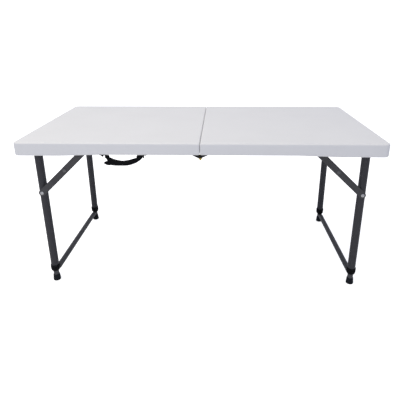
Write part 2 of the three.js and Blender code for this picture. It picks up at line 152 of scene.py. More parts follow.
def plate(bm, outline, thickness, place, bevel=0.4 * MM, holes=(), margin=None):
    """A flat plate with rounded edges. place turns (x, y, depth) into a point of the frame.
    margin is (width, depth) of a border set back on the side at depth 0."""
    outline = [Vector(p) for p in outline]
    if turning(outline) < 0:
        outline.reverse()
    steps = [(bevel * (1 - math.sin(a)), bevel * (1 - math.cos(a)))
             for a in (0, math.pi / 6, math.pi / 3, math.pi / 2)]
    back = [(inward, thickness - deep) for inward, deep in reversed(steps)]
    ends = []
    for number, points in enumerate([outline, *holes]):
        points = [Vector(p) for p in points]
        if number and turning(points) > 0:
            points.reverse()
        section = steps + back
        if margin and not number:
            width, depth = margin
            section = [(width + depth, 0), (width, depth)]
            section += [(inward, deep + depth) for inward, deep in steps] + back
        rings = [[place(p.x, p.y, deep) for p in inset(points, inward)] for inward, deep in section]
        ends.append(loft(bm, rings, caps=False))
    fill(bm, [rings[0] for rings in ends])
    fill(bm, [rings[-1] for rings in ends])


def upright_plane(way, y, face):
    """Places a plate in an XZ plane, with its outer side at y and its depth towards the table's middle."""
    return lambda x, z, depth: Vector((way * x, face * (y - depth), z))


def piece(name, bm, finish, body, slot, *nodes, sharp=SHARP_ANGLE):
    """Makes the object, with its finish, ties it to its body and hides the CAD nodes that it stands in for.
    The slot is not used.
    """
    bmesh.ops.recalc_face_normals(bm, faces=bm.faces)
    mesh = bpy.data.meshes.new(name)
    bm.to_mesh(mesh)
    bm.free()
    mesh.materials.append(finish)
    mesh.polygons.foreach_set("use_smooth", [True] * len(mesh.polygons))
    mesh.set_sharp_from_angle(angle=math.radians(sharp))
    made = bpy.data.objects.new(name, mesh)
    bpy.context.scene.collection.objects.link(made)
    weighted = made.modifiers.new("flat_faces_lead", "WEIGHTED_NORMAL")
    weighted.keep_sharp = True
    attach(made, body)
    if nodes:
        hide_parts(*nodes)
    return made


def cut(made, cutters):
    """Cuts a bmesh of cutters out of a finished piece."""
    bmesh.ops.recalc_face_normals(cutters, faces=cutters.faces)
    mesh = bpy.data.meshes.new("cutter")
    cutters.to_mesh(mesh)
    cutters.free()
    cutter = bpy.data.objects.new("cutter", mesh)
    bpy.context.scene.collection.objects.link(cutter)
    weighted = made.modifiers[0]
    weighted.show_viewport = False
    boolean = made.modifiers.new("cut", "BOOLEAN")
    boolean.object = cutter
    boolean.solver = "EXACT"
    bpy.context.view_layer.update()
    depsgraph = bpy.context.evaluated_depsgraph_get()
    made.data = bpy.data.meshes.new_from_object(made.evaluated_get(depsgraph))
    made.modifiers.remove(boolean)
    weighted.show_viewport = True
    made.data.set_sharp_from_angle(angle=math.radians(SHARP_ANGLE))
    bpy.data.objects.remove(cutter)


# ---------------------------------------------------------------- materials


def shade(colour, factor):
    return (*[min(channel * factor, 1.0) for channel in colour], 1.0)


def finish_of(name, colour, roughness, metallic=0.0, specular=0.5, blotch=(0.05, 18), grain=(0.03, 700),
              uneven=0.05, worn=None):
    """A procedural finish. blotch is (share, scale) of slow colour changes, grain is (height in mm, scale)
    of the relief, uneven is how far the roughness varies, and worn is the colour of rubbed edges."""
    made = bpy.data.materials.new(name)
    made.use_nodes = True
    nodes, links = made.node_tree.nodes, made.node_tree.links
    shader = nodes["Principled BSDF"]
    shader.inputs["Metallic"].default_value = metallic
    shader.inputs["Specular IOR Level"].default_value = specular
    place = nodes.new("ShaderNodeTexCoord").outputs["Object"]

    def noise(scale, detail):
        texture = nodes.new("ShaderNodeTexNoise")
        texture.inputs["Scale"].default_value = scale
        texture.inputs["Detail"].default_value = detail
        links.new(place, texture.inputs["Vector"])
        return texture.outputs["Fac"]

    share, scale = blotch
    ramp = nodes.new("ShaderNodeValToRGB")
    ramp.color_ramp.elements[0].position = 0.3
    ramp.color_ramp.elements[0].color = shade(colour, 1 - share)
    ramp.color_ramp.elements[1].position = 0.7
    ramp.color_ramp.elements[1].color = shade(colour, 1 + share)
    links.new(noise(scale, 4), ramp.inputs["Fac"])
    tint = ramp.outputs["Color"]
    if worn:
        rubbed = nodes.new("ShaderNodeMapRange")
        rubbed.inputs["From Min"].default_value = 0.53
        rubbed.inputs["From Max"].default_value = 0.62
        links.new(nodes.new("ShaderNodeNewGeometry").outputs["Pointiness"], rubbed.inputs["Value"])
        mix = nodes.new("ShaderNodeMix")
        mix.data_type = "RGBA"
        mix.inputs[7].default_value = (*worn, 1.0)
        links.new(rubbed.outputs["Result"], mix.inputs[0])
        links.new(tint, mix.inputs[6])
        tint = mix.outputs[2]
    links.new(tint, shader.inputs["Base Color"])

    rough = nodes.new("ShaderNodeMapRange")
    rough.inputs["To Min"].default_value = roughness - uneven
    rough.inputs["To Max"].default_value = roughness + uneven
    links.new(noise(scale * 3, 3), rough.inputs["Value"])
    links.new(rough.outputs["Result"], shader.inputs["Roughness"])

    height, grain_scale = grain
    bump = nodes.new("ShaderNodeBump")
    bump.inputs["Strength"].default_value = 0.6
    bump.inputs["Distance"].default_value = height * MM
    links.new(noise(grain_scale, 2), bump.inputs["Height"])
    links.new(bump.outputs["Normal"], shader.inputs["Normal"])
    return made


TOP_PLASTIC = finish_of("moulded_top", (0.775, 0.775, 0.78), 0.5, specular=0.4,
                        blotch=(0.012, 7), grain=(0.08, 850), uneven=0.06)
DARK_PAINT = finish_of("dark_powder_coat", (0.026, 0.0255, 0.031), 0.42, specular=0.3,
                       blotch=(0.12, 22), grain=(0.03, 900), worn=(0.05, 0.05, 0.056))
GREY_PAINT = finish_of("grey_powder_coat", (0.062, 0.061, 0.064), 0.45, specular=0.3,
                       blotch=(0.14, 35), grain=(0.03, 900), worn=(0.1, 0.1, 0.105))
BLACK_PAINT = finish_of("black_powder_coat", (0.005, 0.005, 0.0065), 0.45, specular=0.2,
                        blotch=(0.12, 30), grain=(0.03, 900), worn=(0.03, 0.03, 0.034))
TUBE_PAINT = finish_of("inner_tube_coat", (0.042, 0.042, 0.045), 0.38, specular=0.3,
                       blotch=(0.1, 30), grain=(0.02, 900), worn=(0.1, 0.1, 0.11))
STEEL = finish_of("rivet_steel", (0.5, 0.5, 0.51), 0.32, metallic=0.9,
                  blotch=(0.12, 160), grain=(0.02, 1500), uneven=0.08)
DULL_STEEL = finish_of("knee_rivet_steel", (0.13, 0.13, 0.135), 0.5, metallic=0.6,
                       blotch=(0.2, 160), grain=(0.02, 1500), uneven=0.08)
NYLON = finish_of("black_nylon", (0.0025, 0.0028, 0.0038), 0.5, specular=0.08,
                  blotch=(0.1, 40), grain=(0.04, 1000), worn=(0.012, 0.013, 0.016))
RUBBER = finish_of("foot_rubber", (0.004, 0.0065, 0.0105), 0.6, specular=0.2,
                   blotch=(0.15, 60), grain=(0.05, 800), worn=(0.03, 0.03, 0.035))
YELLOW = finish_of("yellow_nylon", (0.5, 0.35, 0.002), 0.5, specular=0.12,
                   blotch=(0.08, 90), grain=(0.03, 1100), worn=(0.62, 0.46, 0.02))

# ---------------------------------------------------------------- the top

RIM_WIDTH = 20 * MM
SEAM_RIM_WIDTH = 20 * MM
CORNER_RADIUS = 18 * MM
SEAM_CORNER_RADIUS = 5 * MM
RECESS_CORNER_RADIUS = 14 * MM
RECESS_SEAM_RADIUS = 1 * MM
TOP_EDGE = 5 * MM
BOTTOM_EDGE = 5 * MM
MOUTH_EDGE = 3 * MM
FLOOR_FILLET = 4 * MM
DEEP_START, DEEP_END = 320 * MM, 460 * MM  # over this length the rim gets deeper towards the legs
DEEPER = 4.5 * MM
DIMPLE_COUNT = 8  # along a half, and across it
FIRST_DIMPLE_X = 60 * MM
DIMPLE_PITCH = 66 * MM
DIMPLE_RADIUS = 14 * MM
DIMPLE_DEPTH = 6 * MM


def plan_ring(way, z, grow, seam_x, end_x, half_depth, seam_radius, end_radius):
    """A rectangle in plan with its own corner radius at the seam and at the end, made larger by grow."""
    seam_x, end_x, half_depth = seam_x - grow, end_x + grow, half_depth + grow
    near = max(seam_radius + grow, 0.4 * MM)
    far = max(end_radius + grow, 0.4 * MM)
    outline = [
        *arc(end_x - far, far - half_depth, far, -90, 0, 12),
        *arc(end_x - far, half_depth - far, far, 0, 90, 12),
        Vector((DEEP_END, half_depth)), Vector((DEEP_START, half_depth)),
        *arc(seam_x + near, half_depth - near, near, 90, 180, 12),
        *arc(seam_x + near, near - half_depth, near, 180, 270, 12),
        Vector((DEEP_START, -half_depth)), Vector((DEEP_END, -half_depth)),
    ]
    return [Vector((way * p.x, p.y, z - deepening(p.x, z))) for p in outline]


def deepening(x, z):
    """How much lower the bottom of the rim lies towards the end of the table."""
    if z > RIM_Z + 10 * MM:
        return 0
    return DEEPER * min(max((x - DEEP_START) / (DEEP_END - DEEP_START), 0), 1)


def quarter(radius, steps=5):
    """Pairs (sine, cosine) times a radius over a quarter turn."""
    angles = [math.pi / 2 * i / steps for i in range(steps + 1)]
    return [(radius * math.sin(a), radius * math.cos(a)) for a in angles]


def dimples():
    """Where the double wall is pressed together under the plate."""
    columns = [FIRST_DIMPLE_X + DIMPLE_PITCH * i for i in range(DIMPLE_COUNT)]
    rows = [DIMPLE_PITCH * (i - (DIMPLE_COUNT - 1) / 2) for i in range(DIMPLE_COUNT)]
    return [(x, y) for x in columns for y in rows]


def top_half(side, way):
    """The hollow shell of one half: plate, rim and the recess with its pressed dimples."""
    outside = (SEAM_X, END_X, HALF_DEPTH, SEAM_CORNER_RADIUS, CORNER_RADIUS)
    recess = (SEAM_RIM_WIDTH, END_X - RIM_WIDTH, HALF_DEPTH - RIM_WIDTH,
              RECESS_SEAM_RADIUS, RECESS_CORNER_RADIUS)
    # from the middle of the top down to the recess; a ring 1 mm from each rounding keeps its neighbour flat
    section = [(-TOP_EDGE - 9 * MM, TOP_Z, outside), (-TOP_EDGE - 1 * MM, TOP_Z, outside)]
    section += [(s - TOP_EDGE, TOP_Z - TOP_EDGE + c, outside) for s, c in quarter(TOP_EDGE)]
    section += [(0, TOP_Z - TOP_EDGE - 1 * MM, outside), (0, RIM_Z + BOTTOM_EDGE + 1 * MM, outside)]
    section += [(c - BOTTOM_EDGE, RIM_Z + BOTTOM_EDGE - s, outside) for s, c in quarter(BOTTOM_EDGE)]
    section += [(MOUTH_EDGE - s, RIM_Z + MOUTH_EDGE - c, recess) for s, c in quarter(MOUTH_EDGE)]
    section += [(0, PLATE_Z - FLOOR_FILLET - 1 * MM, recess)]
    section += [(c - FLOOR_FILLET, PLATE_Z - FLOOR_FILLET + s, recess) for s, c in quarter(FLOOR_FILLET)]
    section += [(-FLOOR_FILLET - 3 * MM, PLATE_Z, recess)]
    bm = bmesh.new()
    rings = loft(bm, [plan_ring(way, z, grow, *outline) for grow, z, outline in section], caps=False)
    bm.faces.new(rings[0])
    loops = [rings[-1]]
    # how much wider than the dimple, and how far up into the plate
    cone = [
        (2 * MM, 0), (1 * MM, 0), (0.3 * MM, 0.3 * MM), (-0.6 * MM, 1.2 * MM),
        (-7 * MM, DIMPLE_DEPTH - 0.7 * MM), (-8 * MM, DIMPLE_DEPTH - 0.1 * MM), (-9.5 * MM, DIMPLE_DEPTH),
    ]
    for x, y in dimples():
        levels = [[Vector((way * p.x, p.y, PLATE_Z + rise)) for p in circle(x, y, DIMPLE_RADIUS + wider)]
                  for wider, rise in cone]
        pressed = loft(bm, levels, caps=False)
        bm.faces.new(pressed[-1])
        loops.append(pressed[0])
    fill(bm, loops)
    piece(f"{side}_top_shell", bm, TOP_PLASTIC, f"{side}_half", "moulded_top", f"{side}_panel", sharp=50)


# ---------------------------------------------------------------- steelwork under the top

SCREW_RADIUS = 3 * MM
SCREW_HEIGHT = 1.6 * MM
SHANK = 3 * MM
HEAD_RADIUS = 6.2 * MM
HEAD_HEIGHT = 1.9 * MM


def dome(radius, height, base=0.0, steps=6):
    """Profile of a domed head on a flat base."""
    edge = 0.25 * height
    curve = [(radius * math.cos(a) ** 0.6, base + edge + (height - edge) * math.sin(a))
             for a in [math.pi / 2 * i / steps for i in range(steps)]]
    return [(radius * 0.94, base), (radius, base + edge * 0.5), *curve, (radius * 0.12, base + height)]


def screw(bm, point, axis):
    """A pan head with a recess in its middle."""
    profile = dome(SCREW_RADIUS, SCREW_HEIGHT)[:-1]
    profile += [(SCREW_RADIUS * 0.32, SCREW_HEIGHT * 0.96), (SCREW_RADIUS * 0.2, SCREW_HEIGHT * 0.5)]
    turned(bm, profile, point, axis, 20)


RAIL_THICKNESS = 2.5 * MM
STRAP_THICKNESS = 2.5 * MM
EAR_RADIUS = 5 * MM
EAR_CORNER = (25 * MM, 509 * MM)  # the lower edge of the ear rises to here
EAR_START = 30 * MM
PIN_RADIUS = 2.5 * MM
PIN_HEAD = 4.4 * MM
RAIL_START = SEAM_RIM_WIDTH + 1.5 * MM
RAIL_BOTTOM = RIM_Z + 2.5 * MM
RAIL_CHAMFER = 14 * MM
EAR_RISE = 8 * MM  # from the end of the ear to the bottom of the rail
TOP_BAR_RADIUS = 10 * MM
TAB_HALF = 16 * MM
TAB_RADIUS = 11 * MM
RAIL_SCREWS = 5
FIRST_RAIL_SCREW = 22 * MM
RAIL_SCREW_PITCH = 110 * MM
RAIL_SCREW_IN = 3.2 * MM  # from the inner edge of the flange
PAST_TAB = 30 * MM  # how far a screw moves on where it would meet the brace tab


def rail(side, way, facing, face):
    """The angle along the recess: a web with the hinge ear, a flange under the plate and the brace tab."""
    name = f"{side}_{facing}_rail"
    low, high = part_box(name)
    head_outer = min(abs(low.y), abs(high.y)) + HEAD_HEIGHT
    tab_inner = head_outer + STRAP_THICKNESS + 2 * GAP
    outer = max(abs(low.y), abs(high.y))
    end_x = max(abs(low.x), abs(high.x))
    web = [
        (end_x, FIXING_TOP), (RAIL_START, FIXING_TOP), (RAIL_START, RIM_Z - GAP),
        *arc(0, HINGE.z, EAR_RADIUS, 80, 270, 20),
        (EAR_RADIUS, HINGE.z - EAR_RADIUS), EAR_CORNER,
        (EAR_START, RIM_Z - GAP), (EAR_START + EAR_RISE, RAIL_BOTTOM),
        (end_x - RAIL_CHAMFER, RAIL_BOTTOM), (end_x, RAIL_BOTTOM + RAIL_CHAMFER),
    ]
    bm = bmesh.new()
    hole = circle(0, HINGE.z, PIN_RADIUS + GAP)
    plate(bm, web, RAIL_THICKNESS, upright_plane(way, outer, face), holes=[hole])
    flange = [(RAIL_START, tab_inner), (end_x, tab_inner), (end_x, outer - 1 * MM),
              (RAIL_START, outer - 1 * MM)]
    plate(bm, flange, RAIL_THICKNESS,
          lambda x, y, depth: Vector((way * x, face * y, FIXING_TOP - RAIL_THICKNESS + depth)))
    tab = [(BRACE_PIVOT.x - TAB_HALF, FIXING_TOP - 1 * MM),
           *arc(BRACE_PIVOT.x, BRACE_PIVOT.z, TAB_RADIUS, 180, 360, 24),
           (BRACE_PIVOT.x + TAB_HALF, FIXING_TOP - 1 * MM)]
    tab_outer = tab_inner + RAIL_THICKNESS
    plate(bm, tab, RAIL_THICKNESS, upright_plane(way, tab_outer, face))
    piece(f"{name}_angle", bm, BLACK_PAINT, f"{side}_half", "black_powder_coat", name)

    bm = bmesh.new()
    for i in range(RAIL_SCREWS):
        x = RAIL_START + FIRST_RAIL_SCREW + i * RAIL_SCREW_PITCH
        if abs(x - BRACE_PIVOT.x) < TAB_HALF + 4 * MM:
            x += PAST_TAB
        screw(bm, (way * x, face * (tab_inner + RAIL_SCREW_IN), FIXING_TOP - RAIL_THICKNESS), (0, 0, -1))
    head = BRACE_PIVOT.x * way, 0, BRACE_PIVOT.z
    stations = [(SHANK, tab_inner + 1 * MM), (SHANK, head_outer - 0.2 * MM)]
    profile = stations + [(r, head_outer - h) for r, h in dome(HEAD_RADIUS, HEAD_HEIGHT)]
    turned(bm, profile, head, (0, face, 0))
    piece(f"{name}_fixings", bm, STEEL, f"{side}_half", "rivet_steel")


SADDLE_SCREW_INSET = 7 * MM
SADDLE_SCREW_HALF_PITCH = 6 * MM


def saddle(side, way, facing, face):
    """A strap bent round the top bar, with a screwed foot on each side of it."""
    name = f"{side}_{facing}_saddle"
    middle, half = span(name)
    bore = TOP_BAR_RADIUS + GAP
    outside = bore + RAIL_THICKNESS
    x, z = abs(middle.x), LEG_PIVOT.z
    low = FIXING_TOP - RAIL_THICKNESS
    bend = 2 * MM
    section = [
        (x - half.x, FIXING_TOP), (x - half.x, low),
        *arc(x - outside - bend, low - bend, bend, 90, 0, 4),
        *arc(x, z, outside, 180, 360, 20),
        *arc(x + outside + bend, low - bend, bend, 180, 90, 4),
        (x + half.x, low), (x + half.x, FIXING_TOP), (x + bore, FIXING_TOP),
        *arc(x, z, bore, 360, 180, 20), (x - bore, FIXING_TOP),
    ]
    bm = bmesh.new()
    outer_y = abs(middle.y) + half.y
    plate(bm, section, 2 * half.y, upright_plane(way, outer_y, face))
    piece(f"{name}_strap", bm, DARK_PAINT, f"{side}_half", "dark_powder_coat", name)
    bm = bmesh.new()
    for offset in (-1, 1):
        for along in (-1, 1):
            screw_x = x + offset * (half.x - SADDLE_SCREW_INSET)
            screw(bm, (way * screw_x, middle.y + along * SADDLE_SCREW_HALF_PITCH, low), (0, 0, -1))
    piece(f"{name}_screws", bm, STEEL, f"{side}_half", "rivet_steel")


def hinge(facing, face):
    """The pin of the centre fold and the pointed guard on it."""
    name = f"{facing}_hinge_pin"
    middle, half = span(name)
    inner, outer = abs(middle.y) - half.y, abs(middle.y) + half.y
    shank = [inner + HEAD_HEIGHT, outer - HEAD_HEIGHT]
    profile = [(r, shank[0] - h) for r, h in reversed(dome(PIN_HEAD, HEAD_HEIGHT))]
    profile += [(PIN_RADIUS, station) for station in shank]
    profile += [(r, shank[1] + h) for r, h in dome(PIN_HEAD, HEAD_HEIGHT)]
    bm = bmesh.new()
    turned(bm, profile, (0, 0, HINGE.z), (0, face, 0), 36)
    # painted shade: the steel pin's heads take the black paint, to look as dark as the shade inside the ear
    # under the rim
    piece(f"{facing}_hinge_rivet", bm, BLACK_PAINT, "left_half", "rivet_steel", name)

    name = f"{facing}_hinge_guard"
    middle, half = span(name)
    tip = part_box(name)[0].z
    wide = half.x
    shoulder = HINGE.z - 7 * MM
    nose = 1 * MM
    tail = [
        *arc(0, HINGE.z, wide, 0, 180, 20), (-wide, shoulder),
        *arc(nose, tip + nose, nose, 210, 330, 6), (wide, shoulder),
    ]
    bm = bmesh.new()
    hole = circle(0, HINGE.z, PIN_RADIUS + GAP)
    plate(bm, tail, 2 * half.y, upright_plane(1, abs(middle.y) + half.y, face),
          bevel=0.7 * MM, holes=[hole])
    piece(f"{facing}_pointed_guard", bm, YELLOW, "left_half", "yellow_nylon", name)


# ---------------------------------------------------------------- leg frames

BAR_WALL = 1.3 * MM
TOP_BAR_STOP = 20 * MM  # the full section of a cross tube stops this far from the legs' axes
CROSSBAR_STOP = 29 * MM
CROSSBAR_END = (9.4 * MM, 3 * MM)
TAPER = 12 * MM
HEIGHT_STEP = 75 * MM
HEIGHT_HOLE_RADIUS = 3.7 * MM
BUTTON_HOLE_RADIUS = 3.5 * MM
HOLE_DEPTH = 4 * MM
BEAD_RADIUS = 1.2 * MM
BEAD_RIPPLE = 0.22 * MM
BEAD_RIPPLES = 13
BEAD_STEPS = 96
PLUG_DEPTH = 9 * MM


def tube_profile(outer, inner, bottom, top, lip=0.4 * MM):
    """A tube's wall with the outer edges broken."""
    return [(inner, bottom), (outer - lip, bottom), (outer, bottom + lip),
            (outer, top - lip), (outer - lip, top), (inner, top)]


def pins(stations, way, face, start, radius):
    """Cutters along X through the outer side of an upright, at the given heights."""
    bm = bmesh.new()
    for z in stations:
        turned(bm, [(radius, 0), (radius, 2 * HOLE_DEPTH)], (way * start, face * LEG.y, z), (way, 0, 0), 32)
    return bm


def cross_tube(name, way, node, end, stop, upright, finish, slot, body):
    """A tube between two uprights, fitted round them, with a weld bead at each end. end is (half width,
    half height) of the section there, and stop is where the full section ends before an upright."""
    middle, half = span(node)
    radius = half.z
    unit = circle(0, 0, 1, 48)

    def reach(x):
        return LEG.y - math.sqrt((upright + 0.1 * MM) ** 2 - x ** 2)

    def fitted(wall, face):
        return [Vector((way * LEG.x + p.x * (end[0] - wall), face * reach(p.x * (end[0] - wall)),
                        middle.z + p.y * (end[1] - wall))) for p in unit]

    def section(share, y):
        """Between the full section (0) and the one at the end (1)."""
        wide, high = (radius + (size - radius) * share for size in end)
        return [Vector((way * LEG.x + p.x * wide, y, middle.z + p.y * high)) for p in unit]

    bm = bmesh.new()
    near, far = LEG.y - stop, LEG.y - stop + TAPER
    steps = [((1 - math.cos(math.pi * i / 8)) / 2, near + (far - near) * i / 8) for i in range(9)]
    if end[1] == radius:
        steps = [(0, near)]
    loft(bm, [fitted(BAR_WALL, -1), fitted(0, -1), *[section(share, -y) for share, y in reversed(steps)],
              *[section(share, y) for share, y in steps], fitted(0, 1), fitted(BAR_WALL, 1)], loop=True)
    for face in FACES.values():
        rings = []
        for i in range(BEAD_STEPS):
            angle = math.tau * i / BEAD_STEPS
            bead = BEAD_RADIUS + BEAD_RIPPLE * math.sin(BEAD_RIPPLES * angle)
            out = Vector((math.cos(angle), 0, math.sin(angle)))
            x, z = end[0] * out.x, end[1] * out.z
            centre = Vector((way * LEG.x + x, face * (reach(x) - 0.2 * MM), middle.z + z))
            rings.append([centre + out * p.x + Vector((0, p.y, 0)) for p in circle(0, 0, bead, 10)])
        loft(bm, rings, loop=True)
    piece(name, bm, finish, body, slot, node)


def leg_frame(side, way):
    """Top bar, outer tubes, sliding tubes and crossbar of one end, with what is on them."""
    body, inner_body = f"{side}_leg_frame", f"{side}_inner_frame"
    bar_radius = span(f"{side}_top_bar")[1].z
    cross_tube(f"{side}_top_bar_tube", way, f"{side}_top_bar", (bar_radius, bar_radius), TOP_BAR_STOP,
               LEG_RADIUS, DARK_PAINT, "dark_powder_coat", body)
    cross_tube(f"{side}_crossbar_tube", way, f"{side}_crossbar", CROSSBAR_END, CROSSBAR_STOP,
               INNER_RADIUS, TUBE_PAINT, "grey_powder_coat", inner_body)
    for facing, face in FACES.items():
        corner = f"{side}_{facing}"
        axis = (way * LEG.x, face * LEG.y, 0)
        button, _ = span(f"{corner}_button")

        low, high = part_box(f"{corner}_leg_tube")
        bm = bmesh.new()
        wall = tube_profile(LEG_RADIUS, LEG_RADIUS - TUBE_WALL, low.z, high.z)
        turned(bm, wall, axis, (0, 0, 1), 64, True)
        made = piece(f"{corner}_outer_tube", bm, DARK_PAINT, body, "dark_powder_coat", f"{corner}_leg_tube")
        heights = [button.z - step * HEIGHT_STEP for step in range(3)]
        cut(made, pins(heights, way, face, LEG.x + LEG_RADIUS - HOLE_DEPTH, HEIGHT_HOLE_RADIUS))

        bm = bmesh.new()
        plug = LEG_RADIUS - TUBE_WALL - 0.2 * MM
        turned(bm, [(plug, high.z - PLUG_DEPTH), (plug, high.z - 1 * MM),
                    (plug - 1 * MM, high.z - 0.2 * MM)], axis, (0, 0, 1), 40)
        piece(f"{corner}_tube_plug", bm, NYLON, body, "black_nylon")

        low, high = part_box(f"{corner}_inner_tube")
        bm = bmesh.new()
        wall = tube_profile(INNER_RADIUS, INNER_RADIUS - TUBE_WALL, low.z, high.z)
        turned(bm, wall, axis, (0, 0, 1), 56, True)
        made = piece(f"{corner}_sliding_tube", bm, TUBE_PAINT, inner_body, "grey_powder_coat",
                     f"{corner}_inner_tube")
        cut(made, pins([button.z], way, face, LEG.x + INNER_RADIUS - HOLE_DEPTH, BUTTON_HOLE_RADIUS))

        collar(corner, axis, body)
        foot(corner, axis, inner_body)
        snap_button(corner, way, body=f"{corner}_button")


def collar(corner, axis, body):
    """The bush at the foot of an outer tube, with a groove and a tapered lower end."""
    low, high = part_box(f"{corner}_collar")
    radius = (high.x - low.x) / 2
    bore = INNER_RADIUS + 0.4 * MM
    socket = LEG_RADIUS + GAP
    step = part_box(f"{corner}_leg_tube")[0].z - GAP
    profile = [
        (bore, low.z), (radius - 3.4 * MM, low.z), (radius - 3 * MM, low.z + 0.3 * MM),
        (radius - 1.2 * MM, low.z + 3.6 * MM), (radius - 0.6 * MM, low.z + 5 * MM),
        (radius - 0.3 * MM, low.z + 7 * MM), (radius - 0.05 * MM, high.z - 8 * MM),
        (radius - 0.7 * MM, high.z - 7.6 * MM), (radius - 0.7 * MM, high.z - 6.6 * MM),
        (radius, high.z - 6.2 * MM), (radius, high.z - 1.4 * MM), (radius - 0.4 * MM, high.z - 0.4 * MM),
        (radius - 1 * MM, high.z), (socket, high.z), (socket, step), (bore, step),
    ]
    bm = bmesh.new()
    turned(bm, profile, axis, (0, 0, 1), 64, True)
    piece(f"{corner}_bush", bm, NYLON, body, "black_nylon", f"{corner}_collar")


def foot(corner, axis, body):
    """The cap that the table stands on, hollow to hold the sliding tube."""
    low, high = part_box(f"{corner}_foot")
    radius = (high.x - low.x) / 2
    bore = INNER_RADIUS + GAP
    floor = 2.7 * MM
    edge = 2.2 * MM
    rounding = [(radius - edge + s, edge - c) for s, c in quarter(edge, 6)]
    profile = [
        (radius * 0.3, 0.6 * MM), (radius * 0.45, 0), *rounding, (radius, 5 * MM),
        (radius - 0.1 * MM, 7.4 * MM), (radius - 0.8 * MM, 7.9 * MM), (radius - 0.9 * MM, 8.8 * MM),
        (radius - 0.35 * MM, 9.4 * MM), (bore + 1.6 * MM, high.z - 3 * MM),
        (bore + 1.4 * MM, high.z - 0.8 * MM), (bore + 0.8 * MM, high.z), (bore, high.z),
        (bore, floor), (radius * 0.3, floor),
    ]
    bm = bmesh.new()
    turned(bm, profile, axis, (0, 0, 1), 64)
    piece(f"{corner}_foot_cap", bm, RUBBER, body, "foot_rubber", f"{corner}_foot")


def snap_button(corner, way, body):
    """The round-nosed pin that locks the height."""
    middle, half = span(f"{corner}_button")
    start, length = abs(middle.x) - half.x, 2 * half.x
    radius = half.y
    nose = 2.4 * MM
    profile = [(radius * 0.9, 0), (radius, 0.3 * MM), (radius, length - nose)]
    profile += [(radius * math.cos(a) ** 0.7, length - nose + nose * math.sin(a))
                for a in [math.pi / 2 * i / 6 for i in range(1, 6)]]
    profile += [(radius * 0.1, length)]
    bm = bmesh.new()
    turned(bm, profile, (way * start, middle.y, middle.z), (way, 0, 0), 32)
    piece(f"{corner}_snap_pin", bm, STEEL, body, "rivet_steel", f"{corner}_button")


# ---------------------------------------------------------------- folding braces

STRAP_WIDTH = 23 * MM
STRAP_BORDER = 2.2 * MM
STRAP_RELIEF = 0.5 * MM  # how far the border is set back
RIVET_COLLAR = 4.5 * MM


def strap(name, node, way, face, start, end, body):
    """A pressed steel link with round ends, a set-back border and two rivet holes."""
    low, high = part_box(node)
    outer = max(abs(low.y), abs(high.y))
    run = end - start
    heading = math.degrees(math.atan2(run.z, run.x))
    half = STRAP_WIDTH / 2
    outline = arc(end.x, end.z, half, heading - 90, heading + 90, 20)
    outline += arc(start.x, start.z, half, heading + 90, heading + 270, 20)
    holes = [circle(p.x, p.z, SHANK + GAP, 28) for p in (start, end)]
    bm = bmesh.new()
    plate(bm, outline, STRAP_THICKNESS, upright_plane(way, outer, face), bevel=0.5 * MM, holes=holes,
          margin=(STRAP_BORDER, STRAP_RELIEF))
    piece(name, bm, GREY_PAINT, body, "grey_powder_coat", node)


def braces(side, way):
    """The two folding braces of one end: a lower and an upper link, and the rivets at leg and knee."""
    for facing, face in FACES.items():
        corner = f"{side}_{facing}"
        strap(f"{corner}_lower_strap", f"{corner}_lower_link", way, face, LEG_RIVET, KNEE,
              f"{side}_lower_links")
        strap(f"{corner}_upper_strap", f"{corner}_upper_link", way, face, KNEE, BRACE_PIVOT,
              f"{side}_upper_links")
        for name, place, body in (("leg_rivet", LEG_RIVET, f"{side}_leg_frame"),
                                  ("knee_rivet", KNEE, f"{side}_upper_links")):
            low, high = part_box(f"{corner}_{name}")
            inner, outer = sorted((abs(low.y), abs(high.y)))
            base = outer - HEAD_HEIGHT
            step = base - STRAP_THICKNESS - 2 * GAP
            stations = [(RIVET_COLLAR, inner), (RIVET_COLLAR, step), (SHANK, step), (SHANK, base)]
            if name == "leg_rivet":
                stations = [(SHANK, inner), (SHANK, base)]
            bm = bmesh.new()
            turned(bm, stations + dome(HEAD_RADIUS, HEAD_HEIGHT, base), (way * place.x, 0, place.z),
                   (0, face, 0))
            finish = STEEL if name == "leg_rivet" else DULL_STEEL
            piece(f"{corner}_{name}_head", bm, finish, body, "rivet_steel", f"{corner}_{name}")


# ---------------------------------------------------------------- carry handle


def smooth_path(stations, steps):
    """Points on a Catmull-Rom curve through stations, which are equally long tuples of numbers."""
    padded = [stations[0], *stations, stations[-1]]
    points = []
    for a, b, c, d in zip(padded, padded[1:], padded[2:], padded[3:]):
        for i in range(steps):
            t = i / steps
            points.append([
                0.5 * (2 * q + (r - p) * t + (2 * p - 5 * q + 4 * r - s) * t ** 2
                       + (3 * q - p - 3 * r + s) * t ** 3)
                for p, q, r, s in zip(a, b, c, d)])
    points.append(list(stations[-1]))
    return points


THUMB_STOP_LENGTH = 8.5 * MM
ARM_DEPTH = 10.4 * MM
LEFT_ARM_WIDTH = 8.5 * MM
RIGHT_ARM_WIDTH = 19.5 * MM
HANDLE_PIN = 2.5 * MM
PAD_CORNER = 3 * MM
PAD_FRONT, PAD_REAR = 4 * MM, 5 * MM  # from the pivot to the middles of the pad's corners
PAD_THICKNESS = 2 * MM
BRACKET_EAR = 6 * MM
BRACKET_EAR_THICKNESS = 2.2 * MM


def handle_ring(centre, across, depth):
    """A squarish round section of the bail, as wide as across is long and with its depth along Y."""
    points = []
    for i in range(40):
        angle = math.tau * i / 40
        c, s = math.cos(angle), math.sin(angle)
        u = math.copysign(abs(c) ** 0.45, c) / 2
        v = math.copysign(abs(s) ** 0.45, s) * depth / 2
        points.append(centre + across * u + Vector((0, v, 0)))
    return points


